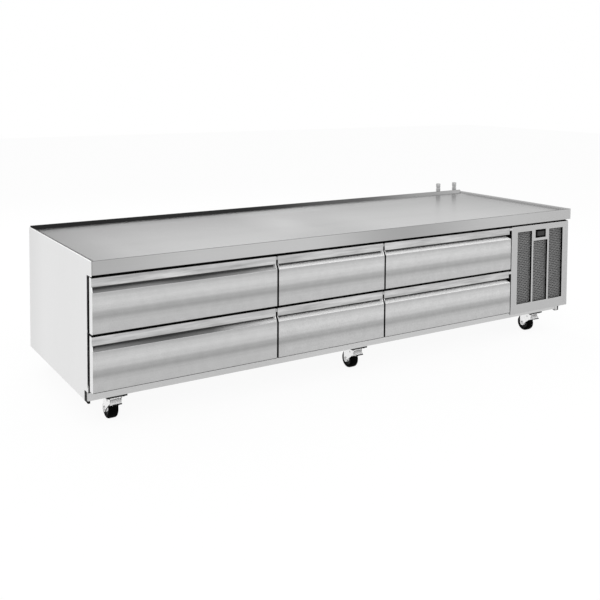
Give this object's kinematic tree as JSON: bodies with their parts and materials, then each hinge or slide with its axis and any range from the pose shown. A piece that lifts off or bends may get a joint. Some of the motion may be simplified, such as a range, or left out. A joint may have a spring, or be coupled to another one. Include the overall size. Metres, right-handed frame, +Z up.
{
  "type": "refrigerated chef base",
  "caption": "Low refrigerated drawer base on swivel casters, with a raised-rim worktop for cooking equipment, wide pull-out drawers and a vented machine compartment at one end.",
  "frame": {"origin": "on the floor, under the middle of the whole part's box", "axes": "+X along the length to the machine compartment's end, +Y to the back, +Z up; the drawers face -Y"},
  "size_m": [2.438, 0.8358, 0.655],
  "materials": {
    "worktop_steel": "satin stainless with a fine brushed grain",
    "front_steel": "stainless brushed along its length",
    "side_steel": "bright stainless, brushed upright",
    "galvanised": "zinc coated sheet",
    "liner_sheet": "stucco aluminium skin",
    "drawer_steel": "bright stainless sheet",
    "frame_plastic": "matt moulded plastic",
    "seal_rubber": "soft matt rubber",
    "display": "dark smoked window",
    "screen_enamel": "perforated dark sheet",
    "caster_zinc": "bright zinc plate",
    "pedal_enamel": "black enamel",
    "tyre": "black tread",
    "coil_aluminium": "plain fins",
    "machine_enamel": "black enamel",
    "copper": "drawn copper tube",
    "fan_plastic": "moulded plastic"
  },
  "bodies": {
    "cabinet": {"worktop": "worktop_steel", "left_side_panel": "side_steel", "right_side_panel": "front_steel", "back_panel": "galvanised", "cabinet_floor": "liner_sheet", "cabinet_ceiling": "liner_sheet", "cabinet_left_wall": "liner_sheet", "cabinet_bulkhead": "liner_sheet", "cabinet_back_wall": "liner_sheet", "face_frame": "frame_plastic", "drawer_gaskets": "seal_rubber", "base_rail_front": "galvanised", "base_rail_rear": "galvanised", "upright_left": "drawer_steel", "partition_left": "drawer_steel", "partition_right": "drawer_steel", "upright_right": "drawer_steel", "compartment_front": "front_steel", "perforated_screen": "screen_enamel", "controller_housing": "frame_plastic", "controller_display": "display", "machine_tray": "galvanised", "condenser_coil": "coil_aluminium", "condenser_fan_shroud": "galvanised", "compressor": "machine_enamel", "suction_line": "copper", "electrical_box": "galvanised", "condensate_pan": "galvanised", "evaporator_coil": "coil_aluminium", "evaporator_housing": "galvanised", "rear_stop_bracket": "front_steel"},
    "drawer_upper_left": {"drawer_upper_left_front": "front_steel", "drawer_upper_left_box": "drawer_steel"},
    "drawer_upper_middle": {"drawer_upper_middle_front": "front_steel", "drawer_upper_middle_box": "drawer_steel"},
    "drawer_upper_right": {"drawer_upper_right_front": "front_steel", "drawer_upper_right_box": "drawer_steel"},
    "drawer_lower_left": {"drawer_lower_left_front": "front_steel", "drawer_lower_left_box": "drawer_steel"},
    "drawer_lower_middle": {"drawer_lower_middle_front": "front_steel", "drawer_lower_middle_box": "drawer_steel"},
    "drawer_lower_right": {"drawer_lower_right_front": "front_steel", "drawer_lower_right_box": "drawer_steel"},
    "condenser_fan_rotor": {"condenser_fan": "fan_plastic"},
    "evaporator_fan_rotor": {"evaporator_fan": "fan_plastic"},
    "caster_front_left": {"caster_fork_front_left": "caster_zinc"},
    "wheel_front_left": {"caster_wheel_front_left": "tyre"},
    "pedal_left": {"brake_pedal_front_left": "pedal_enamel"},
    "caster_front_middle": {"caster_fork_front_middle": "caster_zinc"},
    "wheel_front_middle": {"caster_wheel_front_middle": "tyre"},
    "pedal_middle": {"brake_pedal_front_middle": "pedal_enamel"},
    "caster_front_right": {"caster_fork_front_right": "caster_zinc"},
    "wheel_front_right": {"caster_wheel_front_right": "tyre"},
    "pedal_right": {"brake_pedal_front_right": "pedal_enamel"},
    "caster_rear_left": {"caster_fork_rear_left": "caster_zinc"},
    "wheel_rear_left": {"caster_wheel_rear_left": "tyre"},
    "caster_rear_middle": {"caster_fork_rear_middle": "caster_zinc"},
    "wheel_rear_middle": {"caster_wheel_rear_middle": "tyre"},
    "caster_rear_right": {"caster_fork_rear_right": "caster_zinc"},
    "wheel_rear_right": {"caster_wheel_rear_right": "tyre"}
  },
  "joints": [
    {"name": "drawer_upper_left_slide", "type": "slide", "parent": "cabinet", "child": "drawer_upper_left", "axis": [0, -1, 0], "range_m": [0, 0.45]},
    {"name": "drawer_upper_middle_slide", "type": "slide", "parent": "cabinet", "child": "drawer_upper_middle", "axis": [0, -1, 0], "range_m": [0, 0.45]},
    {"name": "drawer_upper_right_slide", "type": "slide", "parent": "cabinet", "child": "drawer_upper_right", "axis": [0, -1, 0], "range_m": [0, 0.45]},
    {"name": "drawer_lower_left_slide", "type": "slide", "parent": "cabinet", "child": "drawer_lower_left", "axis": [0, -1, 0], "range_m": [0, 0.45]},
    {"name": "drawer_lower_middle_slide", "type": "slide", "parent": "cabinet", "child": "drawer_lower_middle", "axis": [0, -1, 0], "range_m": [0, 0.45]},
    {"name": "drawer_lower_right_slide", "type": "slide", "parent": "cabinet", "child": "drawer_lower_right", "axis": [0, -1, 0], "range_m": [0, 0.45]},
    {"name": "fan_condenser_spin", "type": "hinge", "parent": "cabinet", "child": "condenser_fan_rotor", "pos_m": [1.0075, -0.2406, 0.3006], "axis": [0, 1, 0], "continuous": true},
    {"name": "fan_evaporator_spin", "type": "hinge", "parent": "cabinet", "child": "evaporator_fan_rotor", "pos_m": [0.4275, 0.2382, 0.4424], "axis": [0, 1, 0], "continuous": true},
    {"name": "swivel_front_left", "type": "hinge", "parent": "cabinet", "child": "caster_front_left", "pos_m": [-1.112, -0.3299, 0.0987], "axis": [0, 0, 1], "continuous": true},
    {"name": "wheel_front_left_roll", "type": "hinge", "parent": "caster_front_left", "child": "wheel_front_left", "pos_m": [-1.112, -0.2989, 0.038], "axis": [1, 0, 0], "continuous": true},
    {"name": "pedal_left_press", "type": "hinge", "parent": "caster_front_left", "child": "pedal_left", "pos_m": [-1.112, -0.3309, 0.0772], "axis": [1, 0, 0], "range_deg": [0, 14]},
    {"name": "swivel_front_middle", "type": "hinge", "parent": "cabinet", "child": "caster_front_middle", "pos_m": [-0.039, -0.3299, 0.0987], "axis": [0, 0, 1], "continuous": true},
    {"name": "wheel_front_middle_roll", "type": "hinge", "parent": "caster_front_middle", "child": "wheel_front_middle", "pos_m": [-0.039, -0.2989, 0.038], "axis": [1, 0, 0], "continuous": true},
    {"name": "pedal_middle_press", "type": "hinge", "parent": "caster_front_middle", "child": "pedal_middle", "pos_m": [-0.039, -0.3309, 0.0772], "axis": [1, 0, 0], "range_deg": [0, 14]},
    {"name": "swivel_front_right", "type": "hinge", "parent": "cabinet", "child": "caster_front_right", "pos_m": [1.034, -0.3299, 0.0987], "axis": [0, 0, 1], "continuous": true},
    {"name": "wheel_front_right_roll", "type": "hinge", "parent": "caster_front_right", "child": "wheel_front_right", "pos_m": [1.034, -0.2989, 0.038], "axis": [1, 0, 0], "continuous": true},
    {"name": "pedal_right_press", "type": "hinge", "parent": "caster_front_right", "child": "pedal_right", "pos_m": [1.034, -0.3309, 0.0772], "axis": [1, 0, 0], "range_deg": [0, 14]},
    {"name": "swivel_rear_left", "type": "hinge", "parent": "cabinet", "child": "caster_rear_left", "pos_m": [-1.112, 0.3141, 0.0987], "axis": [0, 0, 1], "continuous": true},
    {"name": "wheel_rear_left_roll", "type": "hinge", "parent": "caster_rear_left", "child": "wheel_rear_left", "pos_m": [-1.112, 0.3451, 0.038], "axis": [1, 0, 0], "continuous": true},
    {"name": "swivel_rear_middle", "type": "hinge", "parent": "cabinet", "child": "caster_rear_middle", "pos_m": [-0.039, 0.3141, 0.0987], "axis": [0, 0, 1], "continuous": true},
    {"name": "wheel_rear_middle_roll", "type": "hinge", "parent": "caster_rear_middle", "child": "wheel_rear_middle", "pos_m": [-0.039, 0.3451, 0.038], "axis": [1, 0, 0], "continuous": true},
    {"name": "swivel_rear_right", "type": "hinge", "parent": "cabinet", "child": "caster_rear_right", "pos_m": [1.034, 0.3141, 0.0987], "axis": [0, 0, 1], "continuous": true},
    {"name": "wheel_rear_right_roll", "type": "hinge", "parent": "caster_rear_right", "child": "wheel_rear_right", "pos_m": [1.034, 0.3451, 0.038], "axis": [1, 0, 0], "continuous": true}
  ]
}
